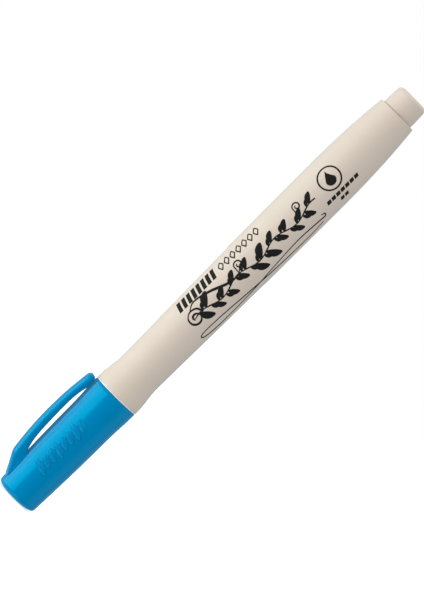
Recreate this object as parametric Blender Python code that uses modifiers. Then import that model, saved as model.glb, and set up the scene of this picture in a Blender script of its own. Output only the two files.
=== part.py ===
"""A capped brush marker for lettering, standing on the flat end of its cap.

The cap stands on the ground plane with the pen pushed down into it, so +Z runs from the cap's closed
end to the tail. The clip is on the -X side. Every piece but the clip is turned about the Z axis.
Run with: blender --background --python part.py
"""

from math import cos, hypot, pi, radians, sin, sqrt, tan

import bmesh
import bpy
from mathutils import Matrix, Vector

MM = 0.001

# How finely round shapes are cut.
TURN_STEPS = 40
CURVE_STEPS = 8
CORNER_STEPS = 4
CAP_BODY_STEPS = 4
CLIP_STEPS = 26

# Gaps between pieces.
SEAT_GAP = 0.3 * MM  # between two faces that rest on each other
FIT_GAP = 0.2 * MM  # all round a piece in the bore that holds it

# Cap: a cup with its closed end down.
CAP_HEIGHT = 35.2 * MM
CAP_END_RADIUS = 5.62 * MM  # where the rounding of its end meets its side
CAP_BODY_RADIUS = 6.18 * MM
CAP_MOUTH_RADIUS = 6.48 * MM
CAP_FLARE_HEIGHT = 9.5 * MM
CAP_CORNER_RADIUS = 1.1 * MM
CAP_CORNER_HEIGHT = 1.5 * MM  # of the corner's centre
CAP_END_SLOPE = 18  # degrees, how steeply its end rises from the flat that it stands on
CAP_FLOOR = 1.7 * MM
CAP_WALL = 0.96 * MM  # round the inner cap, at its thinnest
CAP_MOUTH_WALL = 1.25 * MM
CAP_EDGE = 0.18 * MM

# Clip: a bowed strap that springs from the cap near its closed end. Its root is one with the cap.
CLIP_WIDTH = 4.2 * MM
CLIP_ROOT_HEIGHT = 2.75 * MM  # where its ramp leaves the cap
CLIP_RAMP_ANGLE = radians(29)
CLIP_SHOULDER_RADIUS = 8.5 * MM  # from the pen's axis to its outer face, at the top of the ramp
CLIP_TIP_THICKNESS = 1.85 * MM
CLIP_BOW = 0.95 * MM  # how far its outer face's middle stands out from a straight line
CLIP_EDGE = 0.6 * MM
CLIP_BELOW_MOUTH = 0.3 * MM
CLIP_ROOT_LENGTH = 8.15 * MM  # from where the ramp starts to where the gap over the cap opens
CLIP_FOOT_LENGTH = 2.5 * MM  # how much of its inner face lies along the cap, next to the rounded tip
CLIP_GAP = 1.0 * MM  # what the gap adds, at its middle, to the space between strap and cap
CLIP_SPLIT_BELOW_GAP = 1.2 * MM  # from the end of the root to where the gap opens

# Inner cap: a thin cup pressed into the cap, which keeps the brush from drying.
INNER_CAP_WALL = 0.55 * MM
INNER_CAP_FLOOR = 0.8 * MM
INNER_CAP_BELOW_FLANGE = 0.6 * MM  # from its rim to the nose's flange

# Brush, and the rod that feeds it.
BRUSH_RADIUS = 1.15 * MM
BRUSH_LENGTH = 8.5 * MM
BRUSH_POINT_RADIUS = 0.16 * MM
BRUSH_CLEARANCE = 4.5 * MM  # from its point down to the inner cap's floor
WICK_STEP = 0.25 * MM  # how much slimmer the rod is than the brush, all round
WICK_IN_RESERVOIR = 4.0 * MM

# Collar and nose, which hold the brush in the barrel.
COLLAR_WALL = 0.45 * MM
COLLAR_LENGTH = 4.8 * MM
COLLAR_SHOWS = 0.6 * MM
NOSE_TIP_WALL = 0.5 * MM
NOSE_CONE_LENGTH = 2.7 * MM
NOSE_LAND_LENGTH = 3.6 * MM
NOSE_FLANGE_THICKNESS = 2.0 * MM
NOSE_SPIGOT_BELOW_SHOULDER = 2.3 * MM
NOSE_WALL = 1.0 * MM

# Barrel: a necked tube. Its neck goes into the cap, its shoulder meets the cap's mouth.
NECK_GAP = 0.28 * MM  # between the neck and the cap's bore
NECK_WALL = 1.0 * MM
NECK_BEAD = 0.12 * MM
SHOULDER_RADIUS = 6.5 * MM
WAIST_RADIUS = 5.88 * MM
BELLY_RADIUS = 6.49 * MM
TAIL_RADIUS = 5.28 * MM
BARREL_LENGTH = 95.8 * MM  # from its shoulder to its tail end
SHOULDER_BAND = 0.6 * MM
FLARE_LENGTH = 7.4 * MM
TAPER_LENGTH = 26.5 * MM
BARREL_EDGE = 0.25 * MM
TAIL_WALL = 1.05 * MM
BORE_STEP = 1.5 * MM  # how far behind the shoulder the bore narrows to the neck

# Ink store: a rod of fibre in a film sleeve.
FILM_THICKNESS = 0.15 * MM
FILM_GAP = 0.1 * MM
AIR_BEHIND_RESERVOIR = 6.3 * MM

# Tail plug.
PLUG_LEDGE = 0.8 * MM  # how much of the barrel's end shows round it
PLUG_DRAFT = 0.12 * MM
PLUG_SHOWS = 5.4 * MM
PLUG_ROUNDING = 1.3 * MM
PLUG_SPIGOT_LENGTH = 10.0 * MM
PLUG_WALL = 1.0 * MM
PLUG_END_WALL = 2.4 * MM

# Radii worked out from those sizes.
CAP_BORE = CAP_END_RADIUS - CAP_WALL
CAP_MOUTH_BORE = CAP_MOUTH_RADIUS - CAP_MOUTH_WALL
INNER_CAP_RADIUS = CAP_BORE - FIT_GAP
INNER_CAP_BORE = INNER_CAP_RADIUS - INNER_CAP_WALL
COLLAR_BORE = BRUSH_RADIUS + FIT_GAP
COLLAR_RADIUS = COLLAR_BORE + COLLAR_WALL
NOSE_BORE = COLLAR_RADIUS + FIT_GAP
NOSE_TIP_RADIUS = NOSE_BORE + NOSE_TIP_WALL
NOSE_LAND_RADIUS = INNER_CAP_BORE - FIT_GAP
NECK_RADIUS = CAP_MOUTH_BORE - NECK_GAP
NECK_BORE = NECK_RADIUS - NECK_WALL
WICK_RADIUS = BRUSH_RADIUS - WICK_STEP
WICK_BORE = WICK_RADIUS + FIT_GAP
BORE_RADIUS = TAIL_RADIUS - TAIL_WALL
FILM_RADIUS = BORE_RADIUS - FIT_GAP
RESERVOIR_RADIUS = FILM_RADIUS - FILM_THICKNESS - FILM_GAP
PLUG_RADIUS = TAIL_RADIUS - PLUG_LEDGE
PLUG_END_RADIUS = PLUG_RADIUS - PLUG_DRAFT

# Heights worked out in the same way, all above the surface that the cap stands on.
INNER_CAP_FOOT = CAP_FLOOR + SEAT_GAP
BRUSH_POINT = INNER_CAP_FOOT + INNER_CAP_FLOOR + BRUSH_CLEARANCE
BRUSH_ROOT = BRUSH_POINT + BRUSH_LENGTH
COLLAR_FRONT = BRUSH_ROOT + FIT_GAP
NOSE_FRONT = COLLAR_FRONT + COLLAR_SHOWS
NOSE_LAND = NOSE_FRONT + NOSE_CONE_LENGTH
NOSE_FLANGE = NOSE_LAND + NOSE_LAND_LENGTH
INNER_CAP_RIM = NOSE_FLANGE - INNER_CAP_BELOW_FLANGE
NECK_FRONT = NOSE_FLANGE + NOSE_FLANGE_THICKNESS + SEAT_GAP
SHOULDER = CAP_HEIGHT + SEAT_GAP
NOSE_END = SHOULDER - NOSE_SPIGOT_BELOW_SHOULDER
BORE_START = SHOULDER + BORE_STEP
TAIL = SHOULDER + BARREL_LENGTH
PLUG_SEAT = TAIL + SEAT_GAP
PLUG_FRONT = PLUG_SEAT - PLUG_SPIGOT_LENGTH
PLUG_TOP = PLUG_SEAT + PLUG_SHOWS
RESERVOIR_FRONT = BORE_START + SEAT_GAP
RESERVOIR_END = PLUG_FRONT - AIR_BEHIND_RESERVOIR

# Where the two bending pieces hinge.
CLIP_GAP_START = CLIP_ROOT_HEIGHT + CLIP_ROOT_LENGTH
CLIP_SPLIT = CLIP_GAP_START - CLIP_SPLIT_BELOW_GAP
CLIP_HINGE = Vector((-(CLIP_SHOULDER_RADIUS + CAP_BODY_RADIUS) / 2, 0, CLIP_SPLIT))
BRUSH_HINGE = Vector((0, 0, BRUSH_ROOT))

BLUE = (0.004, 0.25, 0.51)
IVORY = (0.76, 0.67, 0.56)


def clear_scene():
    for thing in list(bpy.data.objects):
        bpy.data.objects.remove(thing)


def new_collection(name):
    collection = bpy.data.collections.new(name)
    bpy.context.scene.collection.children.link(collection)
    return collection


def plastic(name, colour, roughness):
    """A Principled material; every piece of the marker is plastic or fibre, so none is metallic."""
    material = bpy.data.materials.new(name)
    material.use_nodes = True
    shader = material.node_tree.nodes["Principled BSDF"]
    shader.inputs["Base Color"].default_value = (*colour, 1)
    shader.inputs["Roughness"].default_value = roughness
    shader.inputs["Metallic"].default_value = 0
    return material


# Outlines are lists of (radius, height) points.


def quarter(centre, size, start, end):
    """Part of an ellipse about centre, with angles in degrees from straight outwards, upwards positive."""
    steps = CORNER_STEPS
    angles = [radians(start + (end - start) * i / steps) for i in range(steps + 1)]
    return [(centre[0] + size[0] * cos(a), centre[1] + size[1] * sin(a)) for a in angles]


def ease(share):
    """From 0 to 1 with a level start and end."""
    return (1 - cos(pi * share)) / 2


def drawn(radius_at, low, high, steps):
    """Points of the line radius_at(height), from low to high."""
    heights = [low + (high - low) * i / steps for i in range(steps + 1)]
    return [(radius_at(height), height) for height in heights]


def cap_radius(height):
    """The cap's outer radius above its corner: it swells gently, then flares to its mouth."""
    flare_start = CAP_HEIGHT - CAP_FLARE_HEIGHT
    if height < flare_start:
        share = (height - CAP_CORNER_HEIGHT) / (flare_start - CAP_CORNER_HEIGHT)
        return CAP_END_RADIUS + (CAP_BODY_RADIUS - CAP_END_RADIUS) * sin(share * pi / 2)
    share = (height - flare_start) / CAP_FLARE_HEIGHT
    return CAP_BODY_RADIUS + (CAP_MOUTH_RADIUS - CAP_BODY_RADIUS) * ease(share)


def cap_outside():
    """The cap's outside: its flat, the slope round it, the corner, and the side up to the mouth."""
    corner_centre = (CAP_END_RADIUS - CAP_CORNER_RADIUS, CAP_CORNER_HEIGHT)
    corner = quarter(corner_centre, (CAP_CORNER_RADIUS, CAP_CORNER_RADIUS), CAP_END_SLOPE - 90, 0)
    flat_radius = corner[0][0] - corner[0][1] / tan(radians(CAP_END_SLOPE))
    flare_start = CAP_HEIGHT - CAP_FLARE_HEIGHT
    body = drawn(cap_radius, CAP_CORNER_HEIGHT, flare_start, CAP_BODY_STEPS)
    flare = drawn(cap_radius, flare_start, CAP_HEIGHT - CAP_EDGE, CURVE_STEPS)
    return [(0, 0), (flat_radius, 0), *corner, *body[1:], *flare[1:]]


def barrel_radius(height):
    """The barrel's outer radius: a flare down to the waist, a long swell, and a taper to the tail."""
    flare_end = SHOULDER + SHOULDER_BAND + FLARE_LENGTH
    taper_start = TAIL - TAPER_LENGTH
    if height < flare_end:
        share = max(0.0, (height - SHOULDER - SHOULDER_BAND) / FLARE_LENGTH)
        return SHOULDER_RADIUS + (WAIST_RADIUS - SHOULDER_RADIUS) * ease(share)
    if height < taper_start:
        share = ((height - flare_end) / (taper_start - flare_end)) ** 1.25
        return BELLY_RADIUS - (BELLY_RADIUS - WAIST_RADIUS) * (1 - share) ** 2.4
    share = (height - taper_start) / TAPER_LENGTH
    return BELLY_RADIUS - (BELLY_RADIUS - TAIL_RADIUS) * share**2.4


def turned(name, outline, material, collection, closed=True):
    """A solid turned about Z. A closed outline is a ring that never meets the axis; an open one starts
    and ends on the axis. Both go up the outside, and the Screw gets them the other way round."""
    points = list(reversed(outline))
    mesh = bpy.data.meshes.new(name)
    edges = [(i, i + 1) for i in range(len(points) - 1)]
    if closed:
        edges.append((len(points) - 1, 0))
    mesh.from_pydata([(radius, 0, height) for radius, height in points], edges, [])
    thing = bpy.data.objects.new(name, mesh)
    collection.objects.link(thing)
    screw = thing.modifiers.new("Turn", "SCREW")
    screw.steps = screw.render_steps = TURN_STEPS
    screw.use_merge_vertices = True
    screw.merge_threshold = 0.001 * MM
    mesh.materials.append(material)
    return thing


def cut(thing, cutter):
    boolean = thing.modifiers.new("Cut", "BOOLEAN")
    boolean.operation = "DIFFERENCE"
    boolean.object = cutter


def ring(inner, outer, low, high):
    """The outline of a plain tube."""
    return [(inner, low), (outer, low), (outer, high), (inner, high)]


def arc_through(start, end, rise, steps):
    """A circular arc between two (radius, height) points, whose middle stands out by rise."""
    chord = hypot(end[0] - start[0], end[1] - start[1])
    curve_radius = (chord**2 / 4 + rise**2) / (2 * rise)
    along = ((end[0] - start[0]) / chord, (end[1] - start[1]) / chord)
    outward = (along[1], -along[0])
    points = []
    for i in range(steps + 1):
        across = chord * (i / steps - 0.5)
        lift = sqrt(curve_radius**2 - across**2) - (curve_radius - rise)
        distance = chord / 2 + across
        points.append(
            (
                start[0] + along[0] * distance + outward[0] * lift,
                start[1] + along[1] * distance + outward[1] * lift,
            )
        )
    return points


def clip_outline(root_inside):
    """The clip from the side: up its ramp, along its bow, round its tip, back along its foot on the cap
    and over the gap, then down the root's inner face, which is root_inside from the pen's axis."""
    root_radius = cap_radius(CLIP_ROOT_HEIGHT)
    shoulder_height = CLIP_ROOT_HEIGHT + (CLIP_SHOULDER_RADIUS - root_radius) / tan(CLIP_RAMP_ANGLE)
    rounding = CLIP_TIP_THICKNESS / 2
    tip_height = CAP_HEIGHT - CLIP_BELOW_MOUTH - rounding
    tip_inside = cap_radius(tip_height) + SEAT_GAP
    outer = arc_through(
        (CLIP_SHOULDER_RADIUS, shoulder_height),
        (tip_inside + CLIP_TIP_THICKNESS, tip_height),
        CLIP_BOW,
        CLIP_STEPS,
    )
    tip = quarter((tip_inside + rounding, tip_height), (rounding, rounding), 0, 90)
    tip += quarter((tip_inside + rounding, tip_height), (rounding, rounding), 90, 180)[1:]
    gap_end = tip_height - CLIP_FOOT_LENGTH
    foot = drawn(lambda height: cap_radius(height) + SEAT_GAP, gap_end, tip_height, CORNER_STEPS)
    gap = arc_through(
        (cap_radius(CLIP_GAP_START) + SEAT_GAP, CLIP_GAP_START), foot[0], CLIP_GAP, CLIP_STEPS
    )
    root_low = CLIP_ROOT_HEIGHT - (root_radius - root_inside) / tan(CLIP_RAMP_ANGLE)
    root = [(root_inside, CLIP_SPLIT), (root_inside, root_low)]
    return [*root, *outer[:-1], *tip, *reversed(foot[:-1]), *reversed(gap[:-1])]


def solid_of(thing):
    """The mesh of an evaluated curve, with its loose caps welded, in a mesh object of the same name."""
    bpy.context.view_layer.update()
    graph = bpy.context.evaluated_depsgraph_get()
    mesh = bpy.data.meshes.new_from_object(thing.evaluated_get(graph))
    shape = bmesh.new()
    shape.from_mesh(mesh)
    bmesh.ops.remove_doubles(shape, verts=shape.verts, dist=0.001 * MM)
    bmesh.ops.recalc_face_normals(shape, faces=shape.faces)
    shape.to_mesh(mesh)
    shape.free()
    name, place, collection = thing.name, thing.matrix_world.copy(), thing.users_collection[0]
    bpy.data.objects.remove(thing)
    made = bpy.data.objects.new(name, mesh)
    made.matrix_world = place
    collection.objects.link(made)
    return made


def whole_clip(name, root_inside, collection):
    """The clip with its root: its side outline as a flat curve, as thick as the clip is wide."""
    curve = bpy.data.curves.new(name, "CURVE")
    curve.dimensions = "2D"
    curve.fill_mode = "BOTH"
    curve.extrude = CLIP_WIDTH / 2
    spline = curve.splines.new("POLY")
    # In the curve's own plane, x is away from the pen's axis and y is height.
    places = [(-radius - CLIP_HINGE.x, height - CLIP_HINGE.z) for radius, height in clip_outline(root_inside)]
    spline.points.add(len(places) - 1)
    for point, (across, up) in zip(spline.points, places):
        point.co = (across, up, 0, 1)
    spline.use_cyclic_u = True
    flat = bpy.data.objects.new(name, curve)
    flat.rotation_euler = (pi / 2, 0, 0)
    flat.location = CLIP_HINGE
    collection.objects.link(flat)
    clip = solid_of(flat)
    rounding = clip.modifiers.new("Round the edges", "BEVEL")
    rounding.width = CLIP_EDGE
    rounding.segments = 3
    rounding.limit_method = "ANGLE"
    rounding.angle_limit = radians(60)
    return clip


def hide_cutter(thing):
    thing.hide_render = True
    thing.display_type = "WIRE"


def slab(name, low, high, collection):
    """A block wider than the clip between two heights, to cut it with."""
    bpy.ops.mesh.primitive_cube_add(size=1)
    block = bpy.context.object
    block.name = name
    for owner in list(block.users_collection):
        owner.objects.unlink(block)
    collection.objects.link(block)
    reach = 2 * CAP_HEIGHT
    block.data.transform(Matrix.Diagonal((reach, reach, high - low, 1)))
    block.location = (0, 0, (low + high) / 2)
    hide_cutter(block)
    return block


def make_cap(collection, cutters, material):
    """The outer cap: a cup with a stepped bore, narrow at the inner cap and wide at the barrel's neck,
    and the clip's root on its side."""
    mouth_edge = (CAP_MOUTH_RADIUS - CAP_EDGE, CAP_HEIGHT)
    step = INNER_CAP_RIM + SEAT_GAP
    bore = [
        (CAP_MOUTH_BORE + CAP_EDGE, CAP_HEIGHT),
        (CAP_MOUTH_BORE, CAP_HEIGHT - CAP_EDGE),
        (CAP_MOUTH_BORE, step),
        (CAP_BORE, step - SEAT_GAP),
        (CAP_BORE, CAP_FLOOR),
        (0, CAP_FLOOR),
    ]
    cap = turned("cap_shell", [*cap_outside(), mouth_edge, *bore], material, collection, closed=False)
    in_the_wall = (CAP_BORE + CAP_END_RADIUS) / 2
    root = whole_clip("clip_root", in_the_wall, cutters)
    cut(root, slab("above_root", CLIP_SPLIT, 2 * CAP_HEIGHT, cutters))
    hide_cutter(root)
    join = cap.modifiers.new("Join the clip's root", "BOOLEAN")
    join.operation = "UNION"
    join.object = root


def make_clip(collection, cutters, material):
    """The springing part of the clip, from its root to its tip, clear of the cap."""
    clip = whole_clip("pocket_clip", cap_radius(CLIP_GAP_START) + SEAT_GAP, collection)
    clip.data.materials.append(material)
    cut(clip, slab("below_strap", -CAP_HEIGHT, CLIP_SPLIT + SEAT_GAP, cutters))


def make_inner_cap(collection, material):
    lead_in = INNER_CAP_WALL / 2
    outline = [
        (0, INNER_CAP_FOOT),
        (INNER_CAP_RADIUS - INNER_CAP_WALL, INNER_CAP_FOOT),
        (INNER_CAP_RADIUS, INNER_CAP_FOOT + INNER_CAP_WALL),
        (INNER_CAP_RADIUS, INNER_CAP_RIM),
        (INNER_CAP_BORE + lead_in, INNER_CAP_RIM),
        (INNER_CAP_BORE, INNER_CAP_RIM - lead_in),
        (INNER_CAP_BORE, INNER_CAP_FOOT + INNER_CAP_FLOOR),
        (0, INNER_CAP_FOOT + INNER_CAP_FLOOR),
    ]
    turned("inner_cap", outline, material, collection, closed=False)


def make_brush(collection, material):
    """The bending part of the brush: a slim belly drawn to a point, on a ball about its hinge."""

    def radius_at(height):
        share = (height - BRUSH_POINT) / BRUSH_LENGTH
        return BRUSH_POINT_RADIUS + (BRUSH_RADIUS - BRUSH_POINT_RADIUS) * sin(share * pi / 2) ** 0.9

    point = (0, BRUSH_POINT - BRUSH_POINT_RADIUS)
    belly = drawn(radius_at, BRUSH_POINT, BRUSH_ROOT, CURVE_STEPS)
    ball = quarter((0, BRUSH_ROOT), (BRUSH_RADIUS, BRUSH_RADIUS), 0, 90)
    outline = [point, *belly, *ball[1:-1], (0, BRUSH_ROOT + BRUSH_RADIUS)]
    local = [(radius, height - BRUSH_HINGE.z) for radius, height in outline]
    brush = turned("brush_tip", local, material, collection, closed=False)
    brush.location = BRUSH_HINGE


def make_wick(collection, material):
    """The rod that carries ink from the reservoir to the back of the brush."""
    low = BRUSH_ROOT + BRUSH_RADIUS + SEAT_GAP
    high = RESERVOIR_FRONT + WICK_IN_RESERVOIR
    outline = [(0, low), (WICK_RADIUS, low), (WICK_RADIUS, high), (0, high)]
    turned("feed_wick", outline, material, collection, closed=False)


def make_collar(collection, material):
    outline = ring(COLLAR_BORE, COLLAR_RADIUS, COLLAR_FRONT, COLLAR_FRONT + COLLAR_LENGTH)
    turned("nib_collar", outline, material, collection)


def make_nose(collection, material):
    """The nose: a cone and a land that the inner cap seals on, a flange, and a spigot in the neck."""
    collar_end = COLLAR_FRONT + COLLAR_LENGTH + SEAT_GAP
    spigot_radius = NECK_BORE - FIT_GAP
    flange_end = NECK_FRONT - SEAT_GAP
    flange_radius = NECK_RADIUS - FIT_GAP
    edge = FIT_GAP
    outline = [
        (NOSE_BORE, NOSE_FRONT),
        *quarter((NOSE_TIP_RADIUS - edge, NOSE_FRONT + edge), (edge, edge), -90, 0),
        (NOSE_LAND_RADIUS, NOSE_LAND),
        (NOSE_LAND_RADIUS, NOSE_FLANGE),
        (flange_radius, NOSE_FLANGE),
        (flange_radius, flange_end),
        (spigot_radius, flange_end),
        (spigot_radius, NOSE_END),
        (spigot_radius - NOSE_WALL, NOSE_END),
        (spigot_radius - NOSE_WALL, flange_end),
        (WICK_BORE, NOSE_FLANGE),
        (WICK_BORE, collar_end),
        (NOSE_BORE, collar_end),
    ]
    turned("nose_section", outline, material, collection)


def make_barrel(collection, material):
    """The barrel with its neck. A low bead round the neck clicks into the cap."""
    flare_end = SHOULDER + SHOULDER_BAND + FLARE_LENGTH
    taper_start = TAIL - TAPER_LENGTH
    bead = (NECK_FRONT + SHOULDER) / 2
    edge = BARREL_EDGE
    neck = [
        (NECK_BORE, NECK_FRONT),
        (NECK_RADIUS - edge, NECK_FRONT),
        (NECK_RADIUS, NECK_FRONT + edge),
        (NECK_RADIUS, bead - edge),
        (NECK_RADIUS + NECK_BEAD, bead),
        (NECK_RADIUS, bead + edge),
        (NECK_RADIUS, SHOULDER),
        (SHOULDER_RADIUS - edge, SHOULDER),
        (SHOULDER_RADIUS, SHOULDER + edge),
    ]
    flare = drawn(barrel_radius, SHOULDER + SHOULDER_BAND, flare_end, CURVE_STEPS)
    swell = drawn(barrel_radius, flare_end, taper_start, CURVE_STEPS)
    taper = drawn(barrel_radius, taper_start, TAIL - edge, CURVE_STEPS)
    bore = [
        (TAIL_RADIUS - edge, TAIL),
        (BORE_RADIUS, TAIL),
        (BORE_RADIUS, BORE_START),
        (NECK_BORE, BORE_START),
    ]
    turned("barrel", [*neck, *flare, *swell[1:], *taper[1:], *bore], material, collection)


def make_reservoir(collection, fibre, film):
    """The fibre rod that holds the ink, with a blind hole for the wick, and the film round it."""
    hole_end = RESERVOIR_FRONT + WICK_IN_RESERVOIR + SEAT_GAP
    outline = [
        (0, hole_end),
        (WICK_BORE, hole_end),
        (WICK_BORE, RESERVOIR_FRONT),
        (RESERVOIR_RADIUS, RESERVOIR_FRONT),
        (RESERVOIR_RADIUS, RESERVOIR_END),
        (0, RESERVOIR_END),
    ]
    turned("ink_reservoir", outline, fibre, collection, closed=False)
    sleeve = ring(FILM_RADIUS - FILM_THICKNESS, FILM_RADIUS, RESERVOIR_FRONT, RESERVOIR_END)
    turned("reservoir_film", sleeve, film, collection)


def make_plug(collection, material):
    """The tail plug: a rounded stub on the barrel's end, and a hollow spigot in its bore."""
    spigot_radius = BORE_RADIUS - FIT_GAP
    hollow = spigot_radius - PLUG_WALL
    corner_centre = (PLUG_END_RADIUS - PLUG_ROUNDING, PLUG_TOP - PLUG_ROUNDING)
    corner = quarter(corner_centre, (PLUG_ROUNDING, PLUG_ROUNDING), 0, 90)
    outline = [
        (0, PLUG_TOP - PLUG_END_WALL),
        (hollow, PLUG_TOP - PLUG_END_WALL),
        (hollow, PLUG_FRONT),
        (spigot_radius - FIT_GAP, PLUG_FRONT),
        (spigot_radius, PLUG_FRONT + FIT_GAP),
        (spigot_radius, PLUG_SEAT),
        (PLUG_RADIUS, PLUG_SEAT),
        *corner,
        (0, PLUG_TOP),
    ]
    turned("tail_plug", outline, material, collection, closed=False)


def main():
    clear_scene()
    marker = new_collection("brush_marker")
    cutters = new_collection("cutters")
    blue = plastic("cap_blue", BLUE, 0.35)
    ivory = plastic("barrel_ivory", IVORY, 0.5)
    natural = plastic("natural_plastic", (0.8, 0.8, 0.78), 0.45)
    felt = plastic("inked_fibre", (0.01, 0.2, 0.42), 0.9)
    wrap = plastic("clear_film", (0.85, 0.88, 0.9), 0.2)
    make_cap(marker, cutters, blue)
    make_clip(marker, cutters, blue)
    make_inner_cap(marker, natural)
    make_brush(marker, felt)
    make_wick(marker, felt)
    make_collar(marker, natural)
    make_nose(marker, ivory)
    make_barrel(marker, ivory)
    make_reservoir(marker, felt, wrap)
    make_plug(marker, ivory)


main()
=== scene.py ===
# %% [markdown]
# # A brush marker for lettering
#
# This marker has a blue cap with a long bowed clip, and a warm off-white barrel with black ornaments
# printed on it. It stands on the flat closed end of its cap, so +Z runs from there to the tail.
# The solid model of its pieces is already made and is loaded as a frame. This file makes the surface
# that the eye sees, piece by piece, round that frame.
#
# Almost every piece is turned, as a real one is moulded in a round cavity. So the lesson is mostly
# about outlines: one good outline and one helper that spins it make eight of the pieces.

# %% Load the frame
from math import cos, degrees, pi, radians, sin, sqrt, tan

import bmesh
import bpy
from mathutils import Matrix, Vector


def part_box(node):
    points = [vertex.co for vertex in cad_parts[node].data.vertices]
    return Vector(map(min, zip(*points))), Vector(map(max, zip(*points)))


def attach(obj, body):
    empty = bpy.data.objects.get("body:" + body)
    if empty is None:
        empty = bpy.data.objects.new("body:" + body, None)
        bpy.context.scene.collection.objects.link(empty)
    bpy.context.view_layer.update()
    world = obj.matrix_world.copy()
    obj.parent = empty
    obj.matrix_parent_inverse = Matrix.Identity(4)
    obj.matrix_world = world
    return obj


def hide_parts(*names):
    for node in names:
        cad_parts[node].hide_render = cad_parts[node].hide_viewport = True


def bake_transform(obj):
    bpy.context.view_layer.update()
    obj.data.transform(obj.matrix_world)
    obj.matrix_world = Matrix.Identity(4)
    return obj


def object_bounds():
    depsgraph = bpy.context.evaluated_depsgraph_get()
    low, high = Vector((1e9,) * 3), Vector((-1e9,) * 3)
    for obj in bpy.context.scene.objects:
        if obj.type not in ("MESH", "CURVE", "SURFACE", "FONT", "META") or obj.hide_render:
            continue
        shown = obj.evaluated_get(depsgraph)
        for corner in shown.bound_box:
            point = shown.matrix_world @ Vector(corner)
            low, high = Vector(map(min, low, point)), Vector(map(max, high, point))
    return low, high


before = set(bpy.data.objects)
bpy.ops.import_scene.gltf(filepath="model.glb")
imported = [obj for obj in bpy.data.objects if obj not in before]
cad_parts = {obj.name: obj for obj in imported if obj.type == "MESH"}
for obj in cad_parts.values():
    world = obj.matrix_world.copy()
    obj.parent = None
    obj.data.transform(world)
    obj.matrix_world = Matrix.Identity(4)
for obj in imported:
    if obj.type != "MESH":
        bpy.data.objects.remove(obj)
CAD_BOX = [list(corner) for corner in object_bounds()]

# %% [markdown]
# ## Sizes
#
# Heights come from the frame's own boxes, so a piece made here always meets its neighbours. The few
# sizes that a box can't tell, such as a wall or a waist, are written once, in millimetres.

# %% Read the heights and state the rest
MM = 0.001


def low(node):
    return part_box(node)[0].z / MM


def high(node):
    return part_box(node)[1].z / MM


# The pale line at the cap's mouth is a painted highlight: a pale ring set in the barrel's shoulder.
CAP_MOUTH = high("cap_shell") - 0.3  # seen a little lower than in the solid, under a pale line
CAP_RADII = {"end": 5.62, "body": 6.18, "mouth": 6.48}
CAP_CORNER, CAP_CORNER_AT, CAP_END_SLOPE, CAP_FLARE = 1.1, 1.5, 18, 9.5
SHOULDER = CAP_MOUTH + 0.3
TAIL = high("barrel")
NECK_FRONT = low("barrel")
BARREL_RADII = {"shoulder": 6.5, "waist": 5.88, "belly": 6.49, "tail": 5.28, "neck": 4.95}
WAIST_AT = SHOULDER + 8.0
TAPER_FROM = TAIL - 26.5
BRUSH_POINT = low("brush_tip") + 0.16
BRUSH_ROOT = 15.8
print(f"cap mouth {CAP_MOUTH:.2f}, barrel {NECK_FRONT:.2f} to {TAIL:.2f}, plug to {high('tail_plug'):.2f} mm")

# %% [markdown]
# ## Outlines
#
# The cap and the barrel are not cylinders. The cap swells a little from its end and flares at its
# mouth. The barrel flares the other way there, draws in to a waist for the fingers, swells along its
# length and tapers to the tail. Each is a function of height, so that the ornaments further down can
# ask for the same surface that the piece is made of.

# %% Radius of the cap and of the barrel at a height


def ease(share):
    """From 0 to 1 with a level start and end."""
    return (1 - cos(pi * min(1.0, max(0.0, share)))) / 2


def cap_radius(height):
    flare_from = CAP_MOUTH - CAP_FLARE
    if height < flare_from:
        share = max(0.0, (height - CAP_CORNER_AT) / (flare_from - CAP_CORNER_AT))
        return CAP_RADII["end"] + (CAP_RADII["body"] - CAP_RADII["end"]) * sin(share * pi / 2)
    share = ease((height - flare_from) / CAP_FLARE)
    return CAP_RADII["body"] + (CAP_RADII["mouth"] - CAP_RADII["body"]) * share


def barrel_radius(height):
    shoulder, waist = BARREL_RADII["shoulder"], BARREL_RADII["waist"]
    belly, tail = BARREL_RADII["belly"], BARREL_RADII["tail"]
    if height < WAIST_AT:
        return shoulder + (waist - shoulder) * ease((height - SHOULDER - 0.6) / 7.4)
    if height < TAPER_FROM:
        share = ((height - WAIST_AT) / (TAPER_FROM - WAIST_AT)) ** 1.25
        return belly - (belly - waist) * (1 - share) ** 2.4
    return belly - (belly - tail) * ((height - TAPER_FROM) / (TAIL - TAPER_FROM)) ** 2.4


def drawn(radius_at, start, end, steps):
    """Points (radius, height) of a radius function between two heights."""
    heights = [start + (end - start) * i / steps for i in range(steps + 1)]
    return [(radius_at(height), height) for height in heights]


print("waist", round(barrel_radius(WAIST_AT), 2), "belly", round(barrel_radius(TAPER_FROM), 2))

# %% [markdown]
# ## Turning
#
# A Screw modifier could spin an outline, but a moulded edge also needs a small radius, because a
# knife-sharp edge never catches the light. So each corner of an outline can carry a third number, its
# radius, and is replaced by a short curve before the outline is spun into faces.

# %% Round the corners of an outline, and spin it


def soften(outline, steps=4):
    """The outline with each (radius, height, size) corner rounded off by that size."""
    points = []
    for i, corner in enumerate(outline):
        if len(corner) == 2 or i in (0, len(outline) - 1):
            points.append(Vector(corner[:2]))
            continue
        here = Vector(corner[:2])
        arms = []
        for other in (outline[i - 1], outline[i + 1]):
            arm = Vector(other[:2]) - here
            arms.append(here + arm * min(0.5, corner[2] / arm.length))
        for k in range(steps + 1):
            t = k / steps
            points.append(arms[0] * (1 - t) ** 2 + here * 2 * t * (1 - t) + arms[1] * t**2)
    return points


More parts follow.
